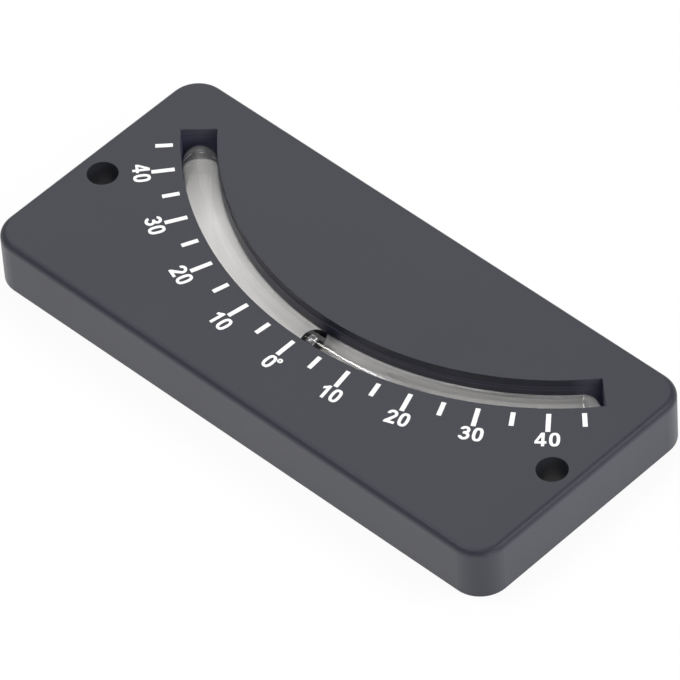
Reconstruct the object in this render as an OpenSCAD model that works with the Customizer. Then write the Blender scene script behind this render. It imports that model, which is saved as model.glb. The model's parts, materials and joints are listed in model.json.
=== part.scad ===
// Curved-tube ball inclinometer. A steel ball rolls to the lowest point of a sealed, liquid-filled
// glass vial, bent to an arc, and shows the angle of tilt against a printed scale. The vial is
// bonded over a white strip in a moulded cradle. The cradle sits in a pocket behind the window of a
// moulded housing, and ribs on a screwed back plate hold it there.
//
// The instrument lies on its back, face up. X runs along it, Y points up its face, towards the
// centre of the arc, and Z comes out of the face. The origin is the centre of the back.

/* [Housing] */
// Length of the housing
housing_l = 110; // [108:0.5:130]
// Width of the housing
housing_w = 49.2; // [48:0.2:64]
// Radius of the upright corners
corner_r = 5.3; // [3.6:0.1:8]
// Radius of the edge round the face
edge_r = 1.2; // [0.4:0.1:1.8]
// Thickness of the side walls
wall_t = 2.2; // [1.8:0.1:2.8]
// Thickness of the face
face_t = 1.5; // [1:0.1:1.8]
// Thickness of the rim that stands round the back plate
rim_t = 1.2; // [0.8:0.1:1.5]
// Thickness of the stiffening ribs under the face
rib_t = 1.2; // [0.8:0.1:2]
// Height of the stiffening ribs
rib_h = 4; // [2:0.5:5]
// Distance from one stiffening rib to the next
rib_pitch = 22; // [14:1:30]
// Thickness of the wall round the cradle's pocket
pocket_t = 1; // [0.8:0.1:1.6]
// Depth of the cradle's pocket
pocket_h = 2.5; // [1.5:0.1:4]

/* [Mounting holes] */
// Diameter of the two mounting holes
mount_d = 5.3; // [4.3:0.1:6.4]
// Distance from each hole to its end of the housing
mount_inset = 5; // [4.8:0.1:6]
// How far the holes lie below the middle of the housing
mount_drop = 2.6; // [0:0.1:6]
// Diameter of the bosses round the holes
mount_boss_d = 9; // [8:0.1:9.5]

/* [Scale] */
// Radius of the arc along the middle of the vial
arc_r = 60.5; // [59:0.1:64]
// Height of the arc's centre above the middle of the housing
arc_rise = 55.4; // [53:0.1:58]
// Angle of tilt at each end of the scale
scale_deg = 45; // [30:5:45]
// Degrees from one tick to the next
tick_step = 5; // [2.5, 5, 7.5, 15]
// How many steps there are from one long tick to the next
long_every = 2; // [1:1:4]
// Distance from the window to the ticks
tick_gap = 1.2; // [0.5:0.05:3]
// Length of a long tick
long_tick_l = 3.85; // [2:0.05:6]
// Length of a short tick
short_tick_l = 2.9; // [1:0.1:5]
// Width of a tick
tick_w = 0.8; // [0.3:0.05:1]
// Thickness of the printed ink
ink_t = 0.05; // [0.02:0.01:0.1]

/* [Vial and ball] */
// Diameter of the ball
ball_d = 4; // [3:0.1:4.5]
// Clearance all round the ball inside the vial
ball_play = 0.1; // [0.05:0.01:0.3]
// Thickness of the glass
glass_t = 0.8; // [0.3:0.05:1]
// How far the top of the vial lies below the face
vial_sink = 1.55; // [0.3:0.05:2]

/* [Cradle] */
// Thickness of the cradle's walls
cradle_t = 1.1; // [0.8:0.1:1.6]
// Thickness of the cradle's floor
cradle_floor = 0.9; // [0.8:0.1:2]
// Clearance between the vial and each wall of the cradle
vial_play = 0.05; // [0.05:0.05:0.5]
// Clearance between each end of the vial and the cradle
vial_end_gap = 0.4; // [0.2:0.05:1]
// Clearance round the cradle in its pocket
cradle_play = 0.15; // [0.1:0.05:0.3]
// How far the window's edge stands back from the cradle's walls
window_lip = 0.1; // [0.05:0.05:0.4]
// Thickness of the white strip behind the vial
strip_t = 0.3; // [0.1:0.05:0.6]
// How far the strip runs past each end of the scale
strip_over = 1.4; // [0:0.1:2]
// Clearance along each edge of the strip
strip_play = 0.1; // [0.05:0.05:0.3]
// Height to which the strip's long edges are turned up
strip_edge_h = 1.5; // [0.5:0.1:1.8]
// Number of places where adhesive holds the vial
bead_places = 4; // [2:1:7]
// Length of a bead of adhesive
bead_l = 6; // [3:0.5:10]
// Width and height of a bead of adhesive
bead_w = 1.1; // [0.8:0.1:1.5]

/* [Back plate] */
// Thickness of the back plate
plate_t = 1.2; // [1.2:0.1:2.4]
// Clearance round the back plate
plate_play = 0.1; // [0.05:0.05:0.3]
// Height of the plate's ribs that bear on the cradle
press_rib_h = 0.45; // [0.3:0.05:3]
// Thickness of those ribs
press_rib_t = 0.9; // [0.6:0.1:1.1]

/* [Screws] */
// Diameter of the screw's shank
screw_d = 1.6; // [1.4:0.1:1.8]
// Length of the screw
screw_l = 6.5; // [4:0.5:7.5]
// Diameter of the screw's countersunk head
screw_head_d = 3.4; // [3:0.1:3.8]
// How far the heads lie below the back of the plate
screw_head_sink = 0.1; // [0.05:0.05:0.3]
// Distance from each screw to the two nearest sides of the housing
screw_inset = 4.6; // [4.2:0.1:4.9]
// Diameter of the bosses that the screws go into
screw_boss_d = 5.2; // [4.8:0.1:6]
// Clearance round the shank in its boss
pilot_play = 0.05; // [0.02:0.01:0.1]
// Clearance round the shank in the plate
shank_play = 0.3; // [0.1:0.05:0.4]
// Width of the arms of the cross recess
recess_w = 0.5; // [0.3:0.05:0.7]
// Depth of the cross recess
recess_h = 0.6; // [0.3:0.1:0.8]

/* [Hidden] */
$fn = 96;
overcut = 0.5;

// Sizes across the arc
bore_d = ball_d + 2 * ball_play;
vial_d = bore_d + 2 * glass_t;
channel_w = vial_d + 2 * vial_play;
window_w = channel_w + 2 * window_lip;
cradle_w = channel_w + 2 * cradle_t;
strip_w = channel_w - 2 * strip_play;

// Heights above the back, from the back plate up to the face
cradle_z = plate_t + press_rib_h;
strip_z = cradle_z + cradle_floor;
vial_z = strip_z + strip_t;
bead_z = vial_z + strip_edge_h;
vial_axis_z = vial_z + vial_d / 2;
housing_t = vial_z + vial_d + vial_sink;
face_z = housing_t - face_t;

// Half angles along the arc, of which each is the one before plus a length at the vial's radius
function arc_deg(length) = length / arc_r * 180 / PI;
strip_deg = scale_deg + arc_deg(strip_over);
channel_deg = scale_deg + arc_deg(vial_d / 2 + vial_end_gap);
window_deg = channel_deg + arc_deg(window_lip);
cradle_deg = channel_deg + arc_deg(cradle_t);
pocket_deg = cradle_deg + arc_deg(cradle_play);
pocket_wall_deg = pocket_deg + arc_deg(pocket_t);

// Radii of the printed ticks
tick_r = arc_r + window_w / 2 + tick_gap;

// Places of the mounting holes and the screws
mount_x = housing_l / 2 - mount_inset;
screw_x = housing_l / 2 - screw_inset;
screw_y = housing_w / 2 - screw_inset;

// Puts its children at the centre of the arc, with -Y towards the scale's zero
module at_arc() {
    translate([0, arc_rise, 0])
        children();
}

// A flat profile, drawn at the arc's radius, swept from -half to +half degrees about zero
module arc_sweep(half) {
    at_arc()
        rotate([0, 0, -90 - half])
            rotate_extrude(angle = 2 * half)
                children();
}

// A bar of rectangular section along the arc
module arc_bar(width, half, z0, z1) {
    arc_sweep(half)
        translate([arc_r - width / 2, z0])
            square([width, z1 - z0]);
}

// The four places that mirror each other about the middle of the housing
module four_places(x, y) {
    for (sx = [-1, 1], sy = [-1, 1])
        translate([sx * x, sy * y, 0])
            children();
}

// The two ends of the housing, at a distance from its middle
module two_ends(x) {
    for (sx = [-1, 1])
        translate([sx * x, -mount_drop, 0])
            children();
}

// A rectangle with round corners
module round_rect(length, width, r) {
    square([length - 2 * r, width], center = true);
    square([length, width - 2 * r], center = true);
    for (sx = [-1, 1], sy = [-1, 1])
        translate([sx * (length / 2 - r), sy * (width / 2 - r)])
            circle(r);
}

// Half the outline of a wall: square at the back and rounded at the face
module edge_profile() {
    difference() {
        square([corner_r, housing_t]);
        translate([corner_r - edge_r, housing_t - edge_r])
            difference() {
                square(2 * edge_r);
                circle(edge_r);
            }
    }
}

// The block from which the housing is hollowed: a core, four straight edges and four corners
module outer_block() {
    core_l = housing_l - 2 * corner_r;
    core_w = housing_w - 2 * corner_r;
    translate([-core_l / 2, -core_w / 2, 0])
        cube([core_l, core_w, housing_t]);
    for (end = [0, 180])
        rotate([0, 0, end]) {
            translate([core_l / 2, core_w / 2, 0])
                rotate([90, 0, 0])
                    linear_extrude(core_w)
                        edge_profile();
            translate([-core_l / 2, core_w / 2, 0])
                rotate([90, 0, 90])
                    linear_extrude(core_l)
                        edge_profile();
            translate([core_l / 2, core_w / 2, 0])
                rotate_extrude(angle = 90)
                    edge_profile();
            translate([-core_l / 2, core_w / 2, 0])
                rotate([0, 0, 90])
                    rotate_extrude(angle = 90)
                        edge_profile();
        }
}

// The space inside the housing, between the back plate and the face
module inner_space() {
    translate([0, 0, plate_t])
        linear_extrude(face_z - plate_t)
            round_rect(housing_l - 2 * wall_t, housing_w - 2 * wall_t, corner_r - wall_t);
}

// The opening in the back that takes the back plate
module plate_opening() {
    translate([0, 0, -overcut])
        linear_extrude(plate_t + overcut)
            round_rect(housing_l - 2 * rim_t, housing_w - 2 * rim_t, corner_r - rim_t);
}

// Ribs under the upper part of the face, from the pocket's wall to the upper side wall
module stiffening_ribs() {
    half_count = floor((housing_l / 2 - wall_t - screw_inset) / rib_pitch);
    difference() {
        for (i = [-half_count:half_count])
            translate([i * rib_pitch - rib_t / 2, 0, face_z - rib_h])
                cube([rib_t, housing_w / 2 - wall_t / 2, rib_h + face_t / 2]);
        at_arc()
            rotate([0, 0, -90 - pocket_wall_deg])
                translate([0, 0, face_z - rib_h - overcut])
                    rotate_extrude(angle = 2 * pocket_wall_deg)
                        square([arc_r + cradle_w / 2 + cradle_play + pocket_t / 2, 2 * rib_h]);
    }
}

module front_housing() {
    color("#505156")
        difference() {
            union() {
                difference() {
                    outer_block();
                    inner_space();
                    plate_opening();
                }
                two_ends(mount_x)
                    cylinder(d = mount_boss_d, h = face_z + face_t / 2);
                four_places(screw_x, screw_y)
                    translate([0, 0, plate_t])
                        cylinder(d = screw_boss_d, h = face_z + face_t / 2 - plate_t);
                arc_bar(cradle_w + 2 * cradle_play + 2 * pocket_t, pocket_wall_deg,
                        face_z - pocket_h, face_z + face_t / 2);
            }
            arc_bar(cradle_w + 2 * cradle_play, pocket_deg, plate_t, face_z);
            arc_bar(window_w, window_deg, face_z - overcut, housing_t + overcut);
            two_ends(mount_x)
                translate([0, 0, -overcut])
                    cylinder(d = mount_d, h = housing_t + 2 * overcut);
            four_places(screw_x, screw_y)
                translate([0, 0, plate_t - overcut])
                    cylinder(d = screw_d + 2 * pilot_play, h = screw_l + overcut);
        }
}

module vial_cradle() {
    color("#2c2d31")
        difference() {
            arc_bar(cradle_w, cradle_deg, cradle_z, face_z);
            arc_bar(channel_w, channel_deg, strip_z, face_z + overcut);
        }
}

// The strip lines the bottom of the channel, and its long edges stand up beside the vial
module backing_strip() {
    color("#f2f2ee")
        arc_sweep(strip_deg)
            translate([arc_r, 0])
                difference() {
                    translate([-strip_w / 2, strip_z])
                        square([strip_w, strip_t + strip_edge_h]);
                    translate([strip_t - strip_w / 2, vial_z])
                        square([strip_w - 2 * strip_t, strip_edge_h + overcut]);
                    translate([0, vial_axis_z])
                        circle(d = vial_d);
                }
}

// Half of a ring between two diameters: the closed end of the vial, cut along its axis
module dome_profile() {
    intersection() {
        difference() {
            circle(d = vial_d);
            circle(d = bore_d);
        }
        square(vial_d);
    }
}

module glass_vial() {
    color("#dfe8ea", 0.35) {
        arc_sweep(scale_deg)
            translate([arc_r, vial_axis_z])
                difference() {
                    circle(d = vial_d);
                    circle(d = bore_d);
                }
        for (side = [-1, 1])
            at_arc()
                rotate([0, 0, side * scale_deg])
                    translate([0, -arc_r, vial_axis_z])
                        rotate([0, side * 90, 0])
                            rotate_extrude()
                                dome_profile();
    }
}

module ball() {
    color("#5a5c60")
        translate([0, arc_rise - arc_r, vial_axis_z])
            sphere(d = ball_d);
}

// Beads in the gap between the vial and the cradle, above the strip's edges, on both sides
module adhesive_beads() {
    bead_step = 2 * scale_deg / bead_places;
    color("#e6ebee", 0.5)
        at_arc()
            for (i = [0:bead_places - 1])
                rotate([0, 0, -90 - scale_deg + (i + 0.5) * bead_step - arc_deg(bead_l) / 2])
                    rotate_extrude(angle = arc_deg(bead_l))
                        for (side = [-1, 1])
                            difference() {
                                translate([arc_r + side * (channel_w - bead_w) / 2, bead_z + bead_w / 2])
                                    square(bead_w, center = true);
                                translate([arc_r, vial_axis_z])
                                    circle(d = vial_d);
                            }
}

module back_plate() {
    color("#46474c")
        difference() {
            union() {
                linear_extrude(plate_t)
                    round_rect(housing_l - 2 * rim_t - 2 * plate_play, housing_w - 2 * rim_t - 2 * plate_play,
                               corner_r - rim_t - plate_play);
                for (side = [-1, 1])
                    arc_sweep(scale_deg)
                        translate([arc_r + side * (cradle_w - cradle_t) / 2 - press_rib_t / 2, plate_t / 2])
                            square([press_rib_t, cradle_z - plate_t / 2]);
            }
            two_ends(mount_x)
                translate([0, 0, -overcut])
                    cylinder(d = mount_boss_d + 2 * plate_play, h = plate_t + 2 * overcut);
            four_places(screw_x, screw_y) {
                translate([0, 0, -overcut])
                    cylinder(d = screw_d + 2 * shank_play, h = plate_t + 2 * overcut);
                translate([0, 0, -overcut])
                    cylinder(d = screw_head_d, h = screw_head_sink + overcut);
                translate([0, 0, screw_head_sink])
                    cylinder(d1 = screw_head_d, d2 = 0, h = screw_head_d / 2);
            }
        }
}

module cover_screws() {
    head_h = (screw_head_d - screw_d) / 2;
    color("#a9abad")
        four_places(screw_x, screw_y)
            translate([0, 0, screw_head_sink])
                difference() {
                    union() {
                        cylinder(d1 = screw_head_d, d2 = screw_d, h = head_h);
                        cylinder(d = screw_d, h = screw_l - screw_head_sink);
                    }
                    for (turn = [0, 90])
                        rotate([0, 0, turn])
                            cube([screw_head_d / 2, recess_w, 2 * recess_h], center = true);
                }
}

// Printed ticks, of which the long ones stand at every so many steps from zero
module ticks(want_long, length) {
    half_count = floor(scale_deg / tick_step);
    color("#f7f7f7")
        at_arc()
            for (i = [-half_count:half_count])
                if ((i % long_every == 0) == want_long)
                    rotate([0, 0, i * tick_step])
                        translate([-tick_w / 2, -tick_r - length, housing_t])
                            cube([tick_w, length, ink_t]);
}

module long_ticks() {
    ticks(true, long_tick_l);
}

module short_ticks() {
    ticks(false, short_tick_l);
}

front_housing();
vial_cradle();
backing_strip();
glass_vial();
ball();
adhesive_beads();
back_plate();
cover_screws();
long_ticks();
short_ticks();
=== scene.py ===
import json
import math

import bmesh
import bpy
from mathutils import Matrix, Vector


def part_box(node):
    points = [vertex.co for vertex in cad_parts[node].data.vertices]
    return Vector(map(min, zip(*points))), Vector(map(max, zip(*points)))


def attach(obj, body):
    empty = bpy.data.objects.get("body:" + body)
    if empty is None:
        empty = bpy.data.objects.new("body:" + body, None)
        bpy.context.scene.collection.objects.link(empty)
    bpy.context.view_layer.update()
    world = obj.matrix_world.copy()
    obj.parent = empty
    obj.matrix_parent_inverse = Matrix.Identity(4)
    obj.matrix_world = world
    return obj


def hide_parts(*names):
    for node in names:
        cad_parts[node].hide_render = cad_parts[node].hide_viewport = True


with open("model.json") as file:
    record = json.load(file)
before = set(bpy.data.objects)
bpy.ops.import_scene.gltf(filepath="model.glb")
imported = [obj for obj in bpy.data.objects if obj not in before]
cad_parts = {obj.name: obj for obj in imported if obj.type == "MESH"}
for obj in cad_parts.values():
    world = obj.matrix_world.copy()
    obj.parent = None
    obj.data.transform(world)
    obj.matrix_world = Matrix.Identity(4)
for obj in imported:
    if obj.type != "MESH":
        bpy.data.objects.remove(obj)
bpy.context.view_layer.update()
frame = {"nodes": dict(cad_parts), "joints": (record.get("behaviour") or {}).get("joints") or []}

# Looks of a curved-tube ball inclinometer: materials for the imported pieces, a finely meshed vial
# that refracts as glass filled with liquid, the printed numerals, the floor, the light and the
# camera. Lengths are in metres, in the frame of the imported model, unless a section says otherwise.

MM = 0.001

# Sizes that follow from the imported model
HOUSING_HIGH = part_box("front_housing")[1]
VIAL_LOW, VIAL_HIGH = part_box("glass_vial")
BALL_LOW, BALL_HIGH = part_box("ball")
CRADLE_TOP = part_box("vial_cradle")[1].z
JOINT = frame["joints"][0]
ARC_CENTRE = Vector(JOINT["pos_m"])
SCALE_HALF = math.radians(JOINT["range_deg"][1])
VIAL_R = (VIAL_HIGH.z - VIAL_LOW.z) / 2
ARC_R = ARC_CENTRE.y - VIAL_LOW.y - VIAL_R
BALL_R = (BALL_HIGH.z - BALL_LOW.z) / 2
FACE_Z = HOUSING_HIGH.z

# Vial
BALL_PLAY = 0.1 * MM
BORE_R = BALL_R + BALL_PLAY
TUBE_STEPS = 160
DOME_STEPS = 14
ROUND_STEPS = 64

# Glass, liquid and glue
GLASS_IOR = 1.47
LIQUID_IOR = 1.40
GLUE_IOR = 1.45
GLUE_FAINT = 0.8
CLEAR_TINT = (0.99, 0.988, 0.985, 1)
SMUDGE_SCALE = 180
SMUDGE_GAIN = 3
SMUDGE_LEAST = 0.004

# Melted ends of the vial: a milky cloud in the domes, and a wavy, broken ring of painted highlight
SEAL_COLOUR = (0.9, 0.9, 0.9, 1)
SEAL_CLOUD = 0.13
SEAL_FADE = 0.6 * MM
SEAL_RING_PLACE = -0.05 * MM
SEAL_RING_HALF = 0.13 * MM
SEAL_HIGHLIGHT_RING_SHARE = 0.75
SEAL_WAVE = 0.12 * MM
SEAL_WAVE_SCALE = 800
SEAL_BREAK_SCALE = 1300

# Moulded plastic. A tone is a factor on the plastic's own colour, here and below.
HOUSING_COLOUR = (0.0266, 0.0281, 0.0388)
PLATE_COLOUR = (0.029, 0.030, 0.037)
CRADLE_COLOUR = (0.030, 0.030, 0.050)
PLASTIC_IOR = 1.5
GLOSS_BELOW = 0.04
GLOSS_ABOVE = 0.05
FLOW_SCALE = 34
FLOW_RISE = 0.02 * MM
GRAIN_SHARE = 0.5
GRAIN_TONE = 1.16
GRAIN_STRENGTH = 0.8
DUST_SCALE = 420
DUST_SHARE = 0.35
DUST_TONE = 2.2
DUST_NEAR = 0.02
DUST_FAR = 0.05

# Outer sides, painted paler than the face: a painted sheen for the light they catch
OUTER_BAND = 3 * MM
OUTER_SOFT = 0.3
SIDE_PAINTED_LIGHT_TONE = 1.44
SIDE_PAINTED_LIGHT_SHARE = 0.6

# Rounded edge between the face and the sides, which is duller. By the rise of the surface normal,
# it fades in from EDGE_LEVEL down to EDGE_TILTED, and out from twice EDGE_UPRIGHT down to it.
EDGE_LEVEL = 0.998
EDGE_TILTED = 0.965
EDGE_UPRIGHT = 0.3
EDGE_SPECULAR = 0.26
PLAIN_SPECULAR = 0.5

# Outer sides where hands have rubbed them. Wear starts at WEAR_TILTED and is full at WEAR_UPRIGHT,
# where 0 is a level surface and 1 an upright one.
WEAR_BAND = 1.3 * MM
WEAR_LEAST = 0.5
WEAR_TILTED = 0.1
WEAR_UPRIGHT = 0.6
WEAR_TONE = 1.8
WEAR_POLISH = 0.1

# Walls at the ends of the window, which are painted paler: painted light where they catch more light
WINDOW_END_ALONG = 2.5 * MM
WINDOW_END_NEAR = 3.5 * MM
WINDOW_END_FAR = 5.5 * MM
WINDOW_END_PAINTED_LIGHT_TONE = 3.0

# Fine lines of painted highlight on the cradle's wall: along its top edge and along a parting line of the
# mould
PARTING_DROP = 0.75 * MM
LINE_HALF = 0.09 * MM
LINE_HIGHLIGHT_SHARE = 0.85
LINE_HIGHLIGHT_TONE = 3.4

# White film, with painted shade that turns it grey between two angles of the scale at its left end
FILM_COLOUR = (0.93, 0.92, 0.91)
FILM_GLOSS = (0.6, 0.75)
FIBRE_SHARE = 0.35
FIBRE_TONE = 0.93
SHADE_START = math.radians(32)
SHADE_FULL = math.radians(43)
SHADE_SHARE = 0.9
SHADE_TONE = 0.45

# Ink and steel
INK_COLOUR = (0.94, 0.94, 0.94)
INK_GLOSS = (0.42, 0.55)
INK_PATCH_SHARE = 0.4
INK_PATCH_TONE = 0.95
BALL_COLOUR = (0.12, 0.12, 0.125)
SCREW_COLOUR = (0.60, 0.60, 0.61)
STEEL_STREAK = 1.6

# Numerals. Their lengths are in millimetres, as they lie on the face, across and outwards from the
# arc's centre, and the step from one to the next is in degrees.
INK_T = 0.05
DIGIT_H = 2.9
DIGIT_TOP_R = 68.8
ZERO_TOP_R = 69.0
STROKE = 0.52
THIN_STROKE = STROKE * 0.95
NARROW_W = 1.82
OVAL_W = 1.75
OVAL_SIDE = 0.54
OVAL_POWER = 2.5
FOUR_W = 1.9
ONE_W = 1.2
SECOND_DIGIT_X = 0.27
FIRST_DIGIT_RIGHT = {"1": -0.42, "2": -0.09, "3": -0.09, "4": -0.13}
ZERO_X = -0.81
DEGREE_X = 1.36
DEGREE_R = 69.3
DEGREE_D = 0.95
DEGREE_HOLE_D = 0.32
NUMERAL_STEP = 10
OUTLINE_STEPS = 18

# Points of the ink's mesh that are nearer to each other than this become one
WELD_GAP = 0.0001 * MM

# Camera, which stands far off, with a long lens. The lens and the sensor are in millimetres.
CAMERA_TARGET = Vector((1.93, -0.94, 5.1)) * MM
CAMERA_DISTANCE = 1.1918
CAMERA_HEADING = math.radians(46.55)
CAMERA_ELEVATION = math.radians(46.68)
CAMERA_ROLL = math.radians(-4.115)
CAMERA_LENS = 391.13
CAMERA_SENSOR = 36
CAMERA_NEAR = 0.01
CAMERA_FAR = 20

# Light from all round. It is dimmer round one direction in front, and reflections show it dimmer
# the higher they look.
WORLD_LEVEL = 0.6
WORLD_SHEEN = 0.44
SHEEN_HEIGHT = 0.6
FRONT_DIRECTION = (0.50, -0.47, 0.73)
FRONT_DIM = 0.3
FRONT_OUTER = 0.4
FRONT_INNER = 0.95

# Lamps: name, place, width, depth and level, where level 1 lights a white surface to white
LAMPS = [
    ("overhead_softbox", (-0.05, -0.10, 0.98), 0.55, 0.55, 0.24),
    ("back_left_softbox", (-0.8, 0.75, 0.9), 0.8, 0.8, 0.09),
    ("back_right_softbox", (0.75, 0.55, 0.85), 0.6, 0.6, 0.34),
    ("strip_light", (-0.38, -0.23, 0.90), 0.45, 0.06, 0.20),
    ("right_softbox", (0.95, -0.2, 0.3), 0.5, 0.5, 0.22),
]

# Floor
FLOOR_SIZE = 6.0
FLOOR_COLOUR = (0.93, 0.93, 0.93, 1)
FLOOR_WHITE_SHARE = 0.9
FLOOR_DROP = 0.02 * MM


# Node helpers

def feed(tree, socket, value):
    """Links an output to an input, or fills the input with a plain value."""
    if isinstance(value, bpy.types.NodeSocket):
        tree.links.new(value, socket)
    else:
        socket.default_value = value


def add(tree, kind, inputs=None, **settings):
    """Adds a node, sets it up, and feeds its inputs."""
    made = tree.nodes.new(kind)
    for name, value in settings.items():
        setattr(made, name, value)
    for name, value in (inputs or {}).items():
        feed(tree, made.inputs[name], value)
    return made


def math_node(tree, operation, first, second):
    return add(tree, "ShaderNodeMath", {0: first, 1: second}, operation=operation).outputs[0]


def times(tree, first, second):
    return math_node(tree, "MULTIPLY", first, second)


def absolute(tree, value):
    return math_node(tree, "ABSOLUTE", value, 0)


def axes(tree, vector):
    """The X, Y and Z outputs of a vector."""
    return add(tree, "ShaderNodeSeparateXYZ", {"Vector": vector}).outputs


def noise(tree, place, scale, detail):
    made = add(tree, "ShaderNodeTexNoise", {"Vector": place, "Scale": scale, "Detail": detail})
    return made.outputs["Fac"]


def spread(tree, value, low, high, from_low=0.3, from_high=0.7):
    """Stretches a value, by default the middle of a noise, to the range from low to high, and
    holds it there."""
    ends = {"Value": value, "From Min": from_low, "From Max": from_high, "To Min": low, "To Max": high}
    return add(tree, "ShaderNodeMapRange", ends).outputs["Result"]


def choose(tree, mask, plain, masked):
    """A number that goes from plain to masked as a mask goes from 0 to 1."""
    return spread(tree, mask, plain, masked, 0, 1)


def blend_colour(tree, factor, first, second):
    """Blends two colours. The node's inputs share their names, so they go by number."""
    made = add(tree, "ShaderNodeMix", {0: factor, 6: first, 7: second}, data_type="RGBA")
    return made.outputs[2]


def blend_shader(tree, factor, first, second):
    return add(tree, "ShaderNodeMixShader", {0: factor, 1: first, 2: second}).outputs[0]


def scaled(colour, factor):
    return tuple(min(1, channel * factor) for channel in colour) + (1,)


def mottled(tree, value, colour, darker, lighter):
    """A colour that wanders with a noise between two tones."""
    return blend_colour(tree, spread(tree, value, 0, 1), scaled(colour, darker), scaled(colour, lighter))


def bumped(tree, height, distance, strength=1.0, under=None):
    """A normal that follows a height, on top of another bumped normal if there is one."""
    inputs = {"Height": height, "Distance": distance, "Strength": strength}
    if under:
        inputs["Normal"] = under
    return add(tree, "ShaderNodeBump", inputs).outputs["Normal"]


def start_material(name):
    material = bpy.data.materials.new(name)
    material.use_nodes = True
    tree = material.node_tree
    tree.nodes.clear()
    place = add(tree, "ShaderNodeTexCoord").outputs["Object"]
    return material, tree, place


def finish_material(tree, shader):
    add(tree, "ShaderNodeOutputMaterial", {"Surface": shader})


def surface(tree, colour, roughness, normal, more=None):
    looks = {"Base Color": colour, "Roughness": roughness, "Normal": normal, **(more or {})}
    return add(tree, "ShaderNodeBsdfPrincipled", looks).outputs[0]


# Places on the arc

def arc_place(angle, along, out, up):
    """A point near the vial's axis: along the tube, away from the arc's centre, and up."""
    tangent = Vector((math.cos(angle), math.sin(angle), 0))
    outward = Vector((math.sin(angle), -math.cos(angle), 0))
    return ARC_CENTRE + tangent * along + outward * (ARC_R + out) + Vector((0, 0, up))


# Masks, which say where on a piece a look applies

def rim_mask(tree, place, width):
    """1 along the outer edges of the housing, falling to 0 at a distance from them."""
    here = axes(tree, place)
    masks = []
    for axis, reach in (("X", HOUSING_HIGH.x), ("Y", HOUSING_HIGH.y)):
        masks.append(spread(tree, absolute(tree, here[axis]), 0, 1, reach - width, reach))
    return math_node(tree, "MAXIMUM", masks[0], masks[1])


def window_end_mask(tree, place):
    """Where painted light lies: 1 round each end of the window, falling to 0 farther off."""
    here = axes(tree, place)
    level = add(tree, "ShaderNodeCombineXYZ", {"X": absolute(tree, here["X"]), "Y": here["Y"], "Z": 0.0})
    end = arc_place(SCALE_HALF, WINDOW_END_ALONG, 0, 0)
    ends = {0: level.outputs[0], 1: (end.x, end.y, 0)}
    distance = add(tree, "ShaderNodeVectorMath", ends, operation="DISTANCE").outputs["Value"]
    return spread(tree, distance, 1, 0, WINDOW_END_NEAR, WINDOW_END_FAR)


def line_mask(tree, place, height):
    """1 on a fine line of painted highlight at a height above the back, falling to 0 beside it."""
    distance = absolute(tree, math_node(tree, "SUBTRACT", axes(tree, place)["Z"], height))
    return spread(tree, distance, 1, 0, LINE_HALF / 2, LINE_HALF)


def normal_rise(tree):
    """1 on level surfaces, falling to 0 on upright ones."""
    normal = add(tree, "ShaderNodeNewGeometry").outputs["Normal"]
    return absolute(tree, axes(tree, normal)["Z"])


def round_edge_mask(tree, rise, outer):
    """1 on the rounded edge between the face and the outer sides, falling to 0 on both."""
    tilted = spread(tree, rise, 1, 0, EDGE_TILTED, EDGE_LEVEL)
    above = spread(tree, rise, 0, 1, EDGE_UPRIGHT, 2 * EDGE_UPRIGHT)
    return times(tree, times(tree, tilted, above), outer)


def wear_mask(tree, place, upright, flow):
    """Up to 1 on the outer sides, uneven, falling to 0 towards level surfaces and inwards."""
    worn = times(tree, rim_mask(tree, place, WEAR_BAND), spread(tree, flow, WEAR_LEAST, 1))
    return times(tree, worn, spread(tree, upright, 0, 1, WEAR_TILTED, WEAR_UPRIGHT))


def seal_mask(tree, place):
    """Cloudiness where the bore's ends were melted shut: thin in the domes, with a broken ring of painted
    highlight.
    """
    here = axes(tree, place)
    across = times(tree, absolute(tree, here["X"]), math.cos(SCALE_HALF))
    rise = math_node(tree, "SUBTRACT", here["Y"], ARC_CENTRE.y)
    past_end = math_node(tree, "ADD", across, times(tree, rise, math.sin(SCALE_HALF)))
    cloud = spread(tree, past_end, 0, SEAL_CLOUD, 0, SEAL_FADE)
    wave = spread(tree, noise(tree, place, SEAL_WAVE_SCALE, detail=1), -SEAL_WAVE, SEAL_WAVE)
    distance = math_node(tree, "ADD", math_node(tree, "SUBTRACT", past_end, SEAL_RING_PLACE), wave)
    ring = spread(tree, absolute(tree, distance), 1, 0, SEAL_RING_HALF / 2, SEAL_RING_HALF)
    gaps = noise(tree, place, SEAL_BREAK_SCALE, detail=2)
    broken = spread(tree, gaps, 0, SEAL_HIGHLIGHT_RING_SHARE, from_low=0.4, from_high=0.6)
    return math_node(tree, "MAXIMUM", cloud, times(tree, ring, broken))


# Materials

def plastic_tone(tree, place, colour, flow, grain):
    """The colour of moulded plastic, with faint flow marks, a fine grain and specks of dust."""
    dust = add(tree, "ShaderNodeTexVoronoi", {"Vector": place, "Scale": DUST_SCALE}, feature="F1")
    specks = spread(tree, dust.outputs["Distance"], DUST_SHARE, 0, DUST_NEAR, DUST_FAR)
    tone = mottled(tree, flow, colour, darker=0.95, lighter=1.05)
    tone = blend_colour(tree, spread(tree, grain, 0, GRAIN_SHARE), tone, scaled(colour, GRAIN_TONE))
    return blend_colour(tree, specks, tone, scaled(colour, DUST_TONE))


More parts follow.
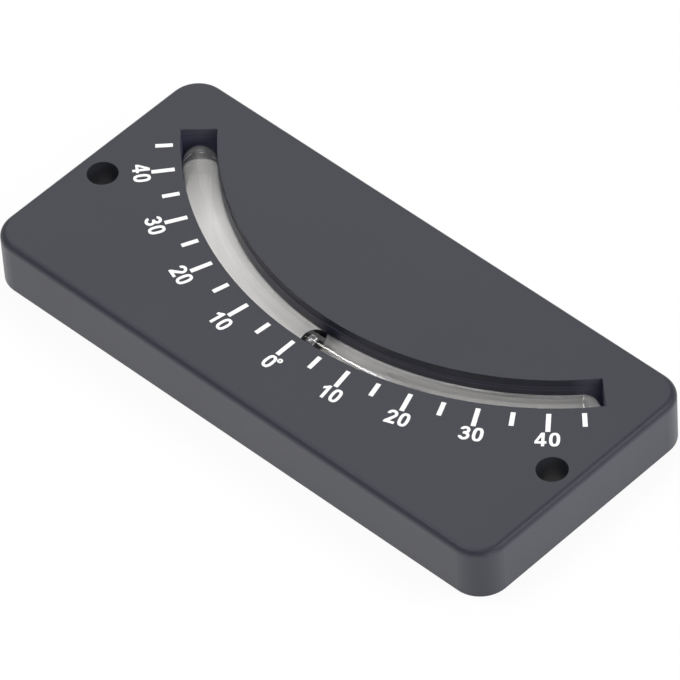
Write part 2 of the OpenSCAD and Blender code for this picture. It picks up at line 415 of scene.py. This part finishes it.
def moulded_plastic(name, colour, roughness, grain_scale, grain_rise, rubbed=0.0, lines=()):
    """Moulded plastic with a spark-eroded texture. Its outer sides and the ends of the window are paler
    with painted light, its rounded edge is duller, and rubbed sides are lighter and smoother. Fine lines
    of painted highlight run round it at the given heights."""
    material, tree, place = start_material(name)
    flow = noise(tree, place, FLOW_SCALE, detail=2)
    grain = noise(tree, place, grain_scale, detail=2)
    outer = spread(tree, rim_mask(tree, place, OUTER_BAND), 0, 1, 0, OUTER_SOFT)
    rise = normal_rise(tree)
    upright = math_node(tree, "SUBTRACT", 1.0, rise)
    tone = plastic_tone(tree, place, colour, flow, grain)
    gloss = spread(tree, grain, roughness - GLOSS_BELOW, roughness + GLOSS_ABOVE)
    # Painted light: the outer sides are painted paler, standing for the sheen they catch.
    side = times(tree, times(tree, upright, outer), SIDE_PAINTED_LIGHT_SHARE)
    tone = blend_colour(tree, side, tone, scaled(colour, SIDE_PAINTED_LIGHT_TONE))
    # Painted light: the walls at the window's ends are painted paler.
    end_wall_painted_light = times(tree, upright, window_end_mask(tree, place))
    tone = blend_colour(tree, end_wall_painted_light, tone, scaled(colour, WINDOW_END_PAINTED_LIGHT_TONE))
    if rubbed:
        worn = wear_mask(tree, place, upright, flow)
        tone = blend_colour(tree, times(tree, worn, rubbed), tone, scaled(colour, WEAR_TONE))
        gloss = math_node(tree, "SUBTRACT", gloss, times(tree, worn, WEAR_POLISH))
    # Painted highlights: fine light lines at the given heights.
    for height in lines:
        line = times(tree, line_mask(tree, place, height), LINE_HIGHLIGHT_SHARE)
        tone = blend_colour(tree, line, tone, scaled(colour, LINE_HIGHLIGHT_TONE))
    waves = bumped(tree, flow, FLOW_RISE)
    normal = bumped(tree, grain, grain_rise, GRAIN_STRENGTH, under=waves)
    specular = choose(tree, round_edge_mask(tree, rise, outer), PLAIN_SPECULAR, EDGE_SPECULAR)
    more = {"IOR": PLASTIC_IOR, "Specular IOR Level": specular}
    finish_material(tree, surface(tree, tone, gloss, normal, more))
    return material


def white_film(name, colour):
    """A matt white film with a faint fibre, and painted shade that makes it greyer towards its left end."""
    material, tree, place = start_material(name)
    fibre = noise(tree, place, scale=900, detail=5)
    patch = noise(tree, place, scale=120, detail=2)
    tone = mottled(tree, patch, colour, darker=0.97, lighter=1.02)
    tone = blend_colour(tree, spread(tree, fibre, 0, FIBRE_SHARE), tone, scaled(colour, FIBRE_TONE))
    # Painted shade: the film greys towards its left end, where the window's end wall shades it.
    shade_from = -ARC_R * math.sin(SHADE_FULL)
    shade_to = -ARC_R * math.sin(SHADE_START)
    painted_shade = spread(tree, axes(tree, place)["X"], SHADE_SHARE, 0, shade_from, shade_to)
    tone = blend_colour(tree, painted_shade, tone, scaled(colour, SHADE_TONE))
    gloss = spread(tree, patch, *FILM_GLOSS)
    normal = bumped(tree, fibre, distance=0.01 * MM, strength=0.6)
    finish_material(tree, surface(tree, tone, gloss, normal))
    return material


def printed_ink(name, colour):
    """Opaque white ink, printed a little unevenly."""
    material, tree, place = start_material(name)
    cover = noise(tree, place, scale=2600, detail=3)
    patch = noise(tree, place, scale=260, detail=2)
    tone = mottled(tree, cover, colour, darker=0.97, lighter=1.02)
    patches = spread(tree, patch, 0, INK_PATCH_SHARE)
    tone = blend_colour(tree, patches, tone, scaled(colour, INK_PATCH_TONE))
    gloss = spread(tree, patch, *INK_GLOSS)
    normal = bumped(tree, cover, distance=0.006 * MM, strength=0.5)
    finish_material(tree, surface(tree, tone, gloss, normal))
    return material


def steel(name, colour, roughness, scratch_scale, scratch_depth):
    """Polished or plated steel with fine scratches and a slight stain."""
    material, tree, place = start_material(name)
    scratch = noise(tree, place, scratch_scale, detail=6)
    stain = noise(tree, place, scale=500, detail=3)
    tone = mottled(tree, stain, colour, darker=0.9, lighter=1.08)
    gloss = spread(tree, scratch, roughness, roughness * STEEL_STREAK)
    normal = bumped(tree, scratch, scratch_depth, strength=0.4)
    finish_material(tree, surface(tree, tone, gloss, normal, {"Metallic": 1.0}))
    return material


def clear_surface(name, ior, roughness, ripple_scale, ripple_rise, faint=0.0, sealed=False):
    """A clear surface that bends light. A faint one, such as glue that wets the glass, hardly shows.
    A sealed one is milky where the vial's ends were melted shut, with a ring of painted highlight."""
    material, tree, place = start_material(name)
    ripples = noise(tree, place, ripple_scale, detail=2)
    smudge = noise(tree, place, SMUDGE_SCALE, detail=3)
    gloss = spread(tree, smudge, roughness, roughness * SMUDGE_GAIN + SMUDGE_LEAST)
    normal = bumped(tree, ripples, ripple_rise, strength=0.5)
    shader = surface(tree, CLEAR_TINT, gloss, normal, {"IOR": ior, "Transmission Weight": 1.0})
    if faint:
        unseen = add(tree, "ShaderNodeBsdfTransparent").outputs[0]
        shader = blend_shader(tree, faint, shader, unseen)
    # The milky ring at the melted ends is a painted highlight; the cloud in the domes is milky glass.
    if sealed:
        milky = add(tree, "ShaderNodeBsdfDiffuse", {"Color": SEAL_COLOUR}).outputs[0]
        shader = blend_shader(tree, seal_mask(tree, place), shader, milky)
    finish_material(tree, shader)
    return material


# Vial

def put(name, mesh):
    """Makes an object of a mesh that moves with the case."""
    piece = bpy.data.objects.new(name, mesh)
    bpy.context.scene.collection.objects.link(piece)
    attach(piece, "case")
    return piece


def shell_rings(radius):
    """Angle, offset along the tube and ring radius of each ring of a tube with domed ends."""
    rings = []
    for step in range(1, DOME_STEPS + 1):
        lift = math.pi / 2 * (1 - step / DOME_STEPS)
        rings.append((-SCALE_HALF, -radius * math.sin(lift), radius * math.cos(lift)))
    for step in range(1, TUBE_STEPS):
        rings.append((SCALE_HALF * (2 * step / TUBE_STEPS - 1), 0, radius))
    for step in range(DOME_STEPS):
        lift = math.pi / 2 * step / DOME_STEPS
        rings.append((SCALE_HALF, radius * math.sin(lift), radius * math.cos(lift)))
    return rings


def tube_shell(radius):
    """Points and faces of a closed, bent tube with domed ends. Its faces look outwards."""
    points = []
    for angle, along, ring_r in shell_rings(radius):
        for step in range(ROUND_STEPS):
            turn = 2 * math.pi * step / ROUND_STEPS
            points.append(arc_place(angle, along, ring_r * math.cos(turn), ring_r * math.sin(turn)))
    last_ring = len(points) - ROUND_STEPS
    left_tip = len(points)
    right_tip = left_tip + 1
    points.append(arc_place(-SCALE_HALF, -radius, 0, 0))
    points.append(arc_place(SCALE_HALF, radius, 0, 0))
    faces = []
    for step in range(ROUND_STEPS):
        after = (step + 1) % ROUND_STEPS
        faces.append((left_tip, step, after))
        faces.append((right_tip, last_ring + after, last_ring + step))
        for here in range(0, last_ring, ROUND_STEPS):
            there = here + ROUND_STEPS
            faces.append((here + step, there + step, there + after, here + after))
    return points, faces


def make_vial():
    """The vial: its outer surface, and the bore's surface, where the glass meets the liquid. Both
    look out of the glass, so the bore's faces are turned round."""
    outer_points, outer_faces = tube_shell(VIAL_R)
    bore_points, bore_faces = tube_shell(BORE_R)
    first = len(outer_points)
    turned_faces = [tuple(first + corner for corner in reversed(face)) for face in bore_faces]
    mesh = bpy.data.meshes.new("vial")
    mesh.from_pydata(outer_points + bore_points, [], outer_faces + turned_faces)
    ripples = {"ripple_scale": 260, "ripple_rise": 0.002 * MM}
    mesh.materials.append(clear_surface("vial_glass", GLASS_IOR, 0.0, **ripples))
    mesh.materials.append(clear_surface("vial_bore", GLASS_IOR / LIQUID_IOR, 0.0, **ripples, sealed=True))
    for index, face in enumerate(mesh.polygons):
        face.material_index = 0 if index < len(outer_faces) else 1
        face.use_smooth = True
    vial = put("vial", mesh)
    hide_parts("glass_vial")


# Numerals. A glyph is a list of closed outlines, in millimetres: x across, y down from its top.

def bend(centre, radii, start, end):
    """Points on part of an ellipse, by angle in degrees, with 90 at its upper side."""
    points = []
    for step in range(OUTLINE_STEPS + 1):
        turn = math.radians(start + (end - start) * step / OUTLINE_STEPS)
        points.append((centre[0] + radii[0] * math.cos(turn), centre[1] - radii[1] * math.sin(turn)))
    return points


def inside(radii):
    """The radii of a stroke's inner side."""
    return radii[0] - STROKE, radii[1] - STROKE


def oval(width, height, inset_x, inset_y, power):
    """A closed oval, set in from a box. Power 2 makes an ellipse and a higher one a fuller shape."""
    reach_x = width / 2 - inset_x
    reach_y = height / 2 - inset_y
    points = []
    for step in range(4 * OUTLINE_STEPS):
        turn = 2 * math.pi * step / (4 * OUTLINE_STEPS)
        across = math.copysign(abs(math.cos(turn)) ** (2 / power), math.cos(turn))
        down = math.copysign(abs(math.sin(turn)) ** (2 / power), math.sin(turn))
        points.append((width / 2 + reach_x * across, height / 2 + reach_y * down))
    return points


def glyph_zero():
    return [oval(OVAL_W, DIGIT_H, 0, 0, OVAL_POWER),
            oval(OVAL_W, DIGIT_H, OVAL_SIDE, THIN_STROKE, OVAL_POWER)]


def glyph_one():
    stem = ONE_W - STROKE * 1.1
    return [[(ONE_W, 0), (ONE_W, DIGIT_H), (stem, DIGIT_H), (stem, 0.82), (0.1, 1.1),
             (0, 0.62), (stem * 0.75, 0.3), (stem * 1.25, 0)]]


def glyph_two():
    centre = (0.9, 0.88)
    bowl = (0.89, 0.88)
    tail = 184
    outer = bend(centre, bowl, tail, -28)
    inner = bend(centre, inside(bowl), -34, tail)
    foot_top = DIGIT_H - STROKE
    foot = [(0.92, foot_top), (NARROW_W, foot_top), (NARROW_W, DIGIT_H),
            (0, DIGIT_H), (0.03, DIGIT_H - STROKE * 0.8)]
    return [outer + foot + inner]


def glyph_three():
    upper_bowl = (0.82, 0.8)
    lower_bowl = (0.92, 0.89)
    upper = (0.9, upper_bowl[1])
    lower = (0.9, DIGIT_H - lower_bowl[1])
    tail = 172
    outer = bend(upper, upper_bowl, tail, -42) + bend(lower, lower_bowl, 44, -tail)
    inner_low = bend(lower, inside(lower_bowl), -tail, 84)
    notch = [(0.62, 1.62), (0.62, 1.2)]
    inner_up = bend(upper, inside(upper_bowl), -84, tail)
    return [outer + inner_low + notch + inner_up]


def glyph_four():
    stem = 1.06
    right = stem + STROKE
    bar = 1.84
    foot = bar + STROKE * 0.92
    outer = [(stem - 0.04, 0), (right, 0), (right, bar), (FOUR_W, bar), (FOUR_W, foot), (right, foot),
             (right, DIGIT_H), (stem, DIGIT_H), (stem, foot), (0, foot), (0, bar)]
    hole = [(stem, 0.86), (stem, bar), (0.5, bar)]
    return [outer, hole]


def glyph_degree():
    return [oval(DEGREE_D, DEGREE_D, inset, inset, 2) for inset in (0, (DEGREE_D - DEGREE_HOLE_D) / 2)]


GLYPHS = {"1": glyph_one, "2": glyph_two, "3": glyph_three, "4": glyph_four}
WIDTHS = {"1": ONE_W, "2": NARROW_W, "3": NARROW_W, "4": FOUR_W}


def on_face(outlines, degrees, left, top_r):
    """Places outlines on the face at an angle of the scale, in millimetres."""
    turn = math.radians(degrees)
    placed = []
    for outline in outlines:
        points = []
        for across, down in outline:
            radius = top_r + down
            x = radius * math.sin(turn) + (left + across) * math.cos(turn)
            y = ARC_CENTRE.y / MM - radius * math.cos(turn) + (left + across) * math.sin(turn)
            points.append((x, y))
        placed.append(points)
    return placed


def filled_mesh(name, outlines):
    """A thin plate, in millimetres, filled between closed outlines."""
    curve = bpy.data.curves.new(name, "CURVE")
    curve.dimensions = "2D"
    curve.fill_mode = "BOTH"
    curve.extrude = INK_T / 2
    for outline in outlines:
        spline = curve.splines.new("POLY")
        spline.points.add(len(outline) - 1)
        for point, place in zip(spline.points, outline):
            point.co = (*place, 0, 1)
        spline.use_cyclic_u = True
    drawn = bpy.data.objects.new(name + "_drawn", curve)
    bpy.context.scene.collection.objects.link(drawn)
    bpy.context.view_layer.update()
    mesh = bpy.data.meshes.new_from_object(drawn.evaluated_get(bpy.context.evaluated_depsgraph_get()))
    mesh.name = name
    bpy.data.objects.remove(drawn)
    bpy.data.curves.remove(curve)
    return mesh


def printed(name, outlines, ink):
    """A closed layer of ink on the face, between outlines that lie on it."""
    mesh = filled_mesh(name, outlines)
    mesh.transform(Matrix.Translation((0, 0, FACE_Z + INK_T / 2 * MM)) @ Matrix.Scale(MM, 4))
    work = bmesh.new()
    work.from_mesh(mesh)
    bmesh.ops.remove_doubles(work, verts=work.verts, dist=WELD_GAP)
    bmesh.ops.recalc_face_normals(work, faces=work.faces)
    work.to_mesh(mesh)
    work.free()
    mesh.materials.append(ink)
    put(name, mesh)


def make_numerals(ink):
    """The numbers of the scale, which count from zero to both sides, and the degree sign."""
    half = round(math.degrees(SCALE_HALF)) // NUMERAL_STEP
    for index in range(-half, half + 1):
        if index == 0:
            printed("numeral_zero", on_face(glyph_zero(), 0, ZERO_X, ZERO_TOP_R), ink)
            continue
        degrees = index * NUMERAL_STEP
        first = str(abs(index))
        left = FIRST_DIGIT_RIGHT[first] - WIDTHS[first]
        outlines = on_face(GLYPHS[first](), degrees, left, DIGIT_TOP_R)
        outlines += on_face(glyph_zero(), degrees, SECOND_DIGIT_X, DIGIT_TOP_R)
        side = "left" if index < 0 else "right"
        printed(f"numeral_{side}_{abs(degrees)}", outlines, ink)
    left = DEGREE_X - DEGREE_D / 2
    top_r = DEGREE_R - DEGREE_D / 2
    printed("degree_sign", on_face(glyph_degree(), 0, left, top_r), ink)


# Stage

def make_floor():
    """A pale floor that reads as white and keeps the object's shadow."""
    half = FLOOR_SIZE / 2
    mesh = bpy.data.meshes.new("floor")
    corners = [(x, y, -FLOOR_DROP) for x, y in ((-half, -half), (half, -half), (half, half), (-half, half))]
    mesh.from_pydata(corners, [], [(0, 1, 2, 3)])
    floor = bpy.data.objects.new("floor", mesh)
    bpy.context.scene.collection.objects.link(floor)
    material, tree, _ = start_material("floor_white")
    plain = add(tree, "ShaderNodeBsdfDiffuse", {"Color": FLOOR_COLOUR}).outputs[0]
    white = add(tree, "ShaderNodeEmission", {"Strength": 1.0}).outputs[0]
    ray = add(tree, "ShaderNodeLightPath").outputs
    seen = math_node(tree, "MAXIMUM", ray["Is Camera Ray"], ray["Is Glossy Ray"])
    seen = math_node(tree, "MAXIMUM", seen, ray["Is Transmission Ray"])
    share = times(tree, seen, FLOOR_WHITE_SHARE)
    finish_material(tree, blend_shader(tree, share, plain, white))
    mesh.materials.append(material)


def make_world():
    """Soft light from all round, dimmer from the front, before a white background."""
    world = bpy.data.worlds.new("studio")
    bpy.context.scene.world = world
    world.use_nodes = True
    tree = world.node_tree
    tree.nodes.clear()
    towards = add(tree, "ShaderNodeTexCoord").outputs["Generated"]
    facing = add(tree, "ShaderNodeVectorMath", {0: towards, 1: FRONT_DIRECTION}, operation="DOT_PRODUCT")
    dimmed = spread(tree, facing.outputs["Value"], 1.0, FRONT_DIM, FRONT_OUTER, FRONT_INNER)
    level = times(tree, dimmed, WORLD_LEVEL)
    higher = spread(tree, axes(tree, towards)["Z"], 1.0, WORLD_SHEEN, 0.0, SHEEN_HEIGHT)
    sheen = times(tree, dimmed, higher)
    ray = add(tree, "ShaderNodeLightPath").outputs
    level = choose(tree, ray["Is Glossy Ray"], level, sheen)
    seen = math_node(tree, "MAXIMUM", ray["Is Camera Ray"], ray["Is Transmission Ray"])
    strength = choose(tree, seen, level, 1.0)
    background = add(tree, "ShaderNodeBackground", {"Color": (1, 1, 1, 1), "Strength": strength})
    add(tree, "ShaderNodeOutputWorld", {"Surface": background.outputs[0]})


def make_lamp(name, place, width, depth, level):
    """A soft lamp that faces the object."""
    lamp = bpy.data.lights.new(name, "AREA")
    lamp.shape = "RECTANGLE"
    lamp.size = width
    lamp.size_y = depth
    lamp.energy = level * math.pi ** 2 * Vector(place).length_squared
    holder = bpy.data.objects.new(name, lamp)
    holder.location = place
    holder.rotation_euler = (-Vector(place)).to_track_quat("-Z", "Y").to_euler()
    bpy.context.scene.collection.objects.link(holder)


def make_camera():
    """The camera of the photo: turned by its heading, tipped down by its elevation, and rolled."""
    forward = Vector((-math.sin(CAMERA_HEADING) * math.cos(CAMERA_ELEVATION),
                      math.cos(CAMERA_HEADING) * math.cos(CAMERA_ELEVATION),
                      -math.sin(CAMERA_ELEVATION)))
    level = Vector((math.cos(CAMERA_HEADING), math.sin(CAMERA_HEADING), 0))
    above = level.cross(forward)
    right = level * math.cos(CAMERA_ROLL) + above * math.sin(CAMERA_ROLL)
    up = above * math.cos(CAMERA_ROLL) - level * math.sin(CAMERA_ROLL)
    turned = Matrix((right, up, -forward)).transposed().to_4x4()
    lens = bpy.data.cameras.new("camera")
    lens.lens = CAMERA_LENS
    lens.sensor_width = CAMERA_SENSOR
    lens.clip_start = CAMERA_NEAR
    lens.clip_end = CAMERA_FAR
    camera = bpy.data.objects.new("camera", lens)
    camera.matrix_world = Matrix.Translation(CAMERA_TARGET - forward * CAMERA_DISTANCE) @ turned
    bpy.context.scene.collection.objects.link(camera)
    bpy.context.scene.camera = camera


def dress(node, material):
    """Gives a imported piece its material."""
    mesh = frame["nodes"][node].data
    mesh.materials.clear()
    mesh.materials.append(material)


def dress_packed_pieces(ink):
    housing = moulded_plastic("housing_plastic", HOUSING_COLOUR, roughness=0.42, grain_scale=5200,
                              grain_rise=0.010 * MM, rubbed=0.35)
    plate = moulded_plastic("plate_plastic", PLATE_COLOUR, roughness=0.5, grain_scale=3600,
                            grain_rise=0.014 * MM, rubbed=0.3)
    cradle = moulded_plastic("cradle_plastic", CRADLE_COLOUR, roughness=0.36, grain_scale=4200,
                             grain_rise=0.008 * MM,
                             lines=(CRADLE_TOP - LINE_HALF, CRADLE_TOP - PARTING_DROP))
    dress("front_housing", housing)
    dress("back_plate", plate)
    dress("vial_cradle", cradle)
    dress("backing_strip", white_film("strip_film", FILM_COLOUR))
    dress("ball", steel("ball_steel", BALL_COLOUR, roughness=0.1, scratch_scale=5200,
                        scratch_depth=0.001 * MM))
    dress("cover_screws", steel("screw_steel", SCREW_COLOUR, roughness=0.25, scratch_scale=3400,
                                scratch_depth=0.006 * MM))
    dress("adhesive_beads", clear_surface("clear_adhesive", GLUE_IOR, roughness=0.05, ripple_scale=700,
                                          ripple_rise=0.03 * MM, faint=GLUE_FAINT))
    dress("long_ticks", ink)
    dress("short_ticks", ink)


INK = printed_ink("white_ink", INK_COLOUR)
dress_packed_pieces(INK)
make_vial()
make_numerals(INK)
make_floor()
make_world()
for lamp_settings in LAMPS:
    make_lamp(*lamp_settings)
make_camera()
bpy.context.scene.view_settings.view_transform = "Standard"
